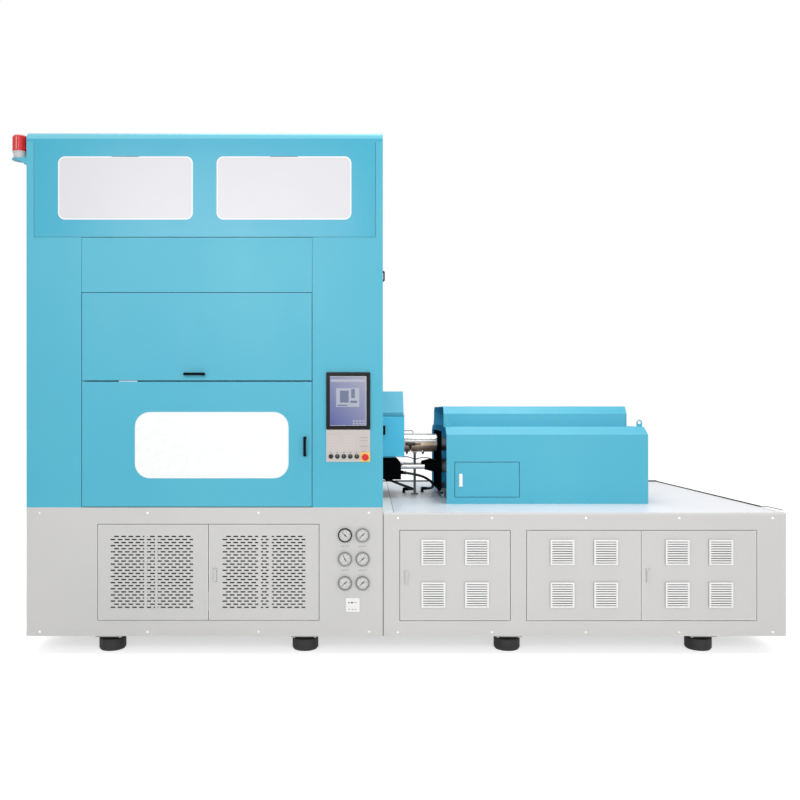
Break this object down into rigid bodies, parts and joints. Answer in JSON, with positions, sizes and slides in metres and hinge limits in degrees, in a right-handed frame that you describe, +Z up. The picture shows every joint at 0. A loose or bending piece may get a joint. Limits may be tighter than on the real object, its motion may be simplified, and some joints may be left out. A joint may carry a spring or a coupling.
{
  "type": "blow moulding machine",
  "caption": "Injection stretch blow moulding machine: guarded blue moulding tower on a grey base, with a low wing carrying a covered injection unit.",
  "frame": {"origin": "middle of the underside of the whole machine's box, on the floor", "axes": "+X from the tower towards the injection wing, -Y the operator's front, +Z up"},
  "size_m": [4.823, 2.238, 3.247],
  "materials": {
    "band_metal": "mica band",
    "barrel_steel": "heat tinted",
    "beacon_red": "translucent red",
    "black_steel": "satin black",
    "blue_paint": "satin powder coat",
    "control_black": "moulded",
    "deck_paint": "smooth paint",
    "foot_rubber": "matt",
    "frame_paint": "plain paint",
    "gauge_steel": "brushed",
    "grey_paint": "textured powder coat",
    "hose_rubber": "satin",
    "latch_chrome": "polished",
    "machined_steel": "ground",
    "mould_steel": "machined",
    "needle_black": "matt",
    "opal_pane": "smooth opal",
    "panel_plastic": "matt",
    "rack_metal": "plain",
    "socket_white": "moulded",
    "stop_red": "moulded"
  },
  "bodies": {
    "machine": {"base_frame": "frame_paint", "levelling_feet": "foot_rubber", "tower_base_panels": "grey_paint", "deck_base_panels": "grey_paint", "deck_plate": "deck_paint", "hydraulic_unit": "frame_paint", "control_rack": "rack_metal", "tower_left_cover": "blue_paint", "tower_right_cover": "blue_paint", "tower_rear_panels": "blue_paint", "roof_cover": "blue_paint", "header_windows": "opal_pane", "upper_panel": "blue_paint", "operator_panel": "panel_plastic", "gauge_cases": "gauge_steel", "wall_socket": "socket_white", "beacon": "beacon_red", "tie_bars": "machined_steel", "top_platen": "machined_steel", "mould_stations": "mould_steel", "nozzle_guard": "blue_paint", "nozzle_block": "black_steel", "injection_cover": "blue_paint", "hose_front": "hose_rubber", "hose_rear": "hose_rubber"},
    "upper_flap": {"upper_flap": "blue_paint"},
    "lower_door": {"lower_door": "blue_paint", "door_window": "opal_pane"},
    "carriage": {"injection_carriage": "black_steel", "barrel": "barrel_steel", "heater_bands": "band_metal"},
    "screw": {"screw": "machined_steel"},
    "core_platen": {"core_platen": "machined_steel"},
    "stretch_rods": {"stretch_rods": "machined_steel"},
    "turntable": {"turntable": "machined_steel"},
    "blow_mould_outer": {"blow_mould_outer": "mould_steel"},
    "blow_mould_inner": {"blow_mould_inner": "mould_steel"},
    "vent_door_left": {"vent_door_left": "grey_paint"},
    "vent_door_right": {"vent_door_right": "grey_paint"},
    "louvre_door_a": {"louvre_door_a": "grey_paint"},
    "louvre_door_b": {"louvre_door_b": "grey_paint"},
    "louvre_door_c": {"louvre_door_c": "grey_paint"},
    "cover_door": {"cover_door": "blue_paint"},
    "guard_door": {"guard_door": "blue_paint"},
    "vent_latch": {"vent_latch": "latch_chrome"},
    "louvre_latch_a": {"louvre_latch_a": "latch_chrome"},
    "louvre_latch_c": {"louvre_latch_c": "latch_chrome"},
    "cover_latch": {"cover_latch": "latch_chrome"},
    "start_button": {"start_button": "control_black"},
    "emergency_stop": {"emergency_stop": "stop_red"},
    "selector_1": {"selector_1": "control_black"},
    "selector_2": {"selector_2": "control_black"},
    "selector_3": {"selector_3": "control_black"},
    "selector_4": {"selector_4": "control_black"},
    "gauge_needle_1": {"gauge_needle_1": "needle_black"},
    "gauge_needle_2": {"gauge_needle_2": "needle_black"},
    "gauge_needle_3": {"gauge_needle_3": "needle_black"},
    "gauge_needle_4": {"gauge_needle_4": "needle_black"},
    "gauge_needle_5": {"gauge_needle_5": "needle_black"},
    "gauge_needle_6": {"gauge_needle_6": "needle_black"}
  },
  "joints": [
    {"name": "flap_hinge", "type": "hinge", "parent": "machine", "child": "upper_flap", "pos_m": [-1.1935, -1.074, 2.237], "axis": [-1, 0, 0], "range_deg": [0, 90]},
    {"name": "vent_door_left_hinge", "type": "hinge", "parent": "machine", "child": "vent_door_left", "pos_m": [-1.8485, -1.074, 0.5105], "axis": [0, 0, -1], "range_deg": [0, 90]},
    {"name": "vent_door_right_hinge", "type": "hinge", "parent": "machine", "child": "vent_door_right", "pos_m": [-0.4925, -1.074, 0.5105], "axis": [0, 0, 1], "range_deg": [0, 90]},
    {"name": "louvre_door_a_hinge", "type": "hinge", "parent": "machine", "child": "louvre_door_a", "pos_m": [0.6935, -1.074, 0.49], "axis": [0, 0, 1], "range_deg": [0, 90]},
    {"name": "louvre_door_b_hinge", "type": "hinge", "parent": "machine", "child": "louvre_door_b", "pos_m": [0.8115, -1.074, 0.49], "axis": [0, 0, -1], "range_deg": [0, 90]},
    {"name": "louvre_door_c_hinge", "type": "hinge", "parent": "machine", "child": "louvre_door_c", "pos_m": [2.2215, -1.074, 0.49], "axis": [0, 0, 1], "range_deg": [0, 90]},
    {"name": "cover_door_hinge", "type": "hinge", "parent": "machine", "child": "cover_door", "pos_m": [0.8375, -0.61, 1.045], "axis": [0, 0, 1], "range_deg": [0, 90]},
    {"name": "guard_door_hinge", "type": "hinge", "parent": "machine", "child": "guard_door", "pos_m": [0.0735, -0.274, 1.3285], "axis": [0, 0, 1], "range_deg": [0, 90]},
    {"name": "lower_door_hinge", "type": "hinge", "parent": "machine", "child": "lower_door", "pos_m": [-1.9485, -1.074, 1.3045], "axis": [0, 0, -1], "range_deg": [0, 90]},
    {"name": "vent_latch_pivot", "type": "hinge", "parent": "vent_door_right", "child": "vent_latch", "pos_m": [-1.1275, -1.0897, 0.5313], "axis": [-1, 0, 0], "range_deg": [0, 60]},
    {"name": "louvre_latch_a_pivot", "type": "hinge", "parent": "louvre_door_a", "child": "louvre_latch_a", "pos_m": [0.0575, -1.0897, 0.5143], "axis": [-1, 0, 0], "range_deg": [0, 60]},
    {"name": "louvre_latch_c_pivot", "type": "hinge", "parent": "louvre_door_c", "child": "louvre_latch_c", "pos_m": [1.5535, -1.0897, 0.5273], "axis": [-1, 0, 0], "range_deg": [0, 60]},
    {"name": "cover_latch_pivot", "type": "hinge", "parent": "cover_door", "child": "cover_latch", "pos_m": [0.4475, -0.6257, 1.0778], "axis": [-1, 0, 0], "range_deg": [0, 60]},
    {"name": "carriage_slide", "type": "slide", "parent": "machine", "child": "carriage", "axis": [1, 0, 0], "range_m": [0, 0.15]},
    {"name": "screw_turn", "type": "hinge", "parent": "carriage", "child": "screw", "pos_m": [-0.4985, 0.019, 1.266], "axis": [1, 0, 0], "continuous": true},
    {"name": "core_platen_slide", "type": "slide", "parent": "machine", "child": "core_platen", "axis": [0, 0, -1], "range_m": [0, 0.3]},
    {"name": "stretch_slide", "type": "slide", "parent": "core_platen", "child": "stretch_rods", "axis": [0, 0, -1], "range_m": [0, 0.28]},
    {"name": "turntable_turn", "type": "hinge", "parent": "machine", "child": "turntable", "pos_m": [-1.1935, 0.019, 1.53], "axis": [0, 0, 1], "continuous": true},
    {"name": "mould_outer_slide", "type": "slide", "parent": "machine", "child": "blow_mould_outer", "axis": [1, 0, 0], "range_m": [0, 0.09]},
    {"name": "mould_inner_slide", "type": "slide", "parent": "machine", "child": "blow_mould_inner", "axis": [-1, 0, 0], "range_m": [0, 0.09]},
    {"name": "start_button_press", "type": "slide", "parent": "machine", "child": "start_button", "axis": [0, 1, 0], "range_m": [0, 0.004], "stiffness_N_per_m": 600},
    {"name": "emergency_stop_press", "type": "slide", "parent": "machine", "child": "emergency_stop", "axis": [0, 1, 0], "range_m": [0, 0.006]},
    {"name": "selector_1_turn", "type": "hinge", "parent": "machine", "child": "selector_1", "pos_m": [-0.3705, -1.081, 1.229], "axis": [0, 1, 0], "range_deg": [-45, 45]},
    {"name": "selector_2_turn", "type": "hinge", "parent": "machine", "child": "selector_2", "pos_m": [-0.3305, -1.081, 1.229], "axis": [0, 1, 0], "range_deg": [-45, 45]},
    {"name": "selector_3_turn", "type": "hinge", "parent": "machine", "child": "selector_3", "pos_m": [-0.2905, -1.081, 1.229], "axis": [0, 1, 0], "range_deg": [-45, 45]},
    {"name": "selector_4_turn", "type": "hinge", "parent": "machine", "child": "selector_4", "pos_m": [-0.2505, -1.081, 1.229], "axis": [0, 1, 0], "range_deg": [-45, 45]},
    {"name": "gauge_1_needle_turn", "type": "hinge", "parent": "machine", "child": "gauge_needle_1", "pos_m": [-0.3235, -1.081, 0.741], "axis": [0, 1, 0], "range_deg": [-90, 180]},
    {"name": "gauge_2_needle_turn", "type": "hinge", "parent": "machine", "child": "gauge_needle_2", "pos_m": [-0.2145, -1.081, 0.741], "axis": [0, 1, 0], "range_deg": [0, 270]},
    {"name": "gauge_3_needle_turn", "type": "hinge", "parent": "machine", "child": "gauge_needle_3", "pos_m": [-0.3235, -1.081, 0.593], "axis": [0, 1, 0], "range_deg": [-105, 165]},
    {"name": "gauge_4_needle_turn", "type": "hinge", "parent": "machine", "child": "gauge_needle_4", "pos_m": [-0.2145, -1.081, 0.593], "axis": [0, 1, 0], "range_deg": [0, 270]},
    {"name": "gauge_5_needle_turn", "type": "hinge", "parent": "machine", "child": "gauge_needle_5", "pos_m": [-0.3235, -1.081, 0.444], "axis": [0, 1, 0], "range_deg": [0, 270]},
    {"name": "gauge_6_needle_turn", "type": "hinge", "parent": "machine", "child": "gauge_needle_6", "pos_m": [-0.2145, -1.081, 0.444], "axis": [0, 1, 0], "range_deg": [0, 270]}
  ],
  "couplings": [
    {"joint": "mould_inner_slide", "follows": "mould_outer_slide", "ratio": 1}
  ]
}
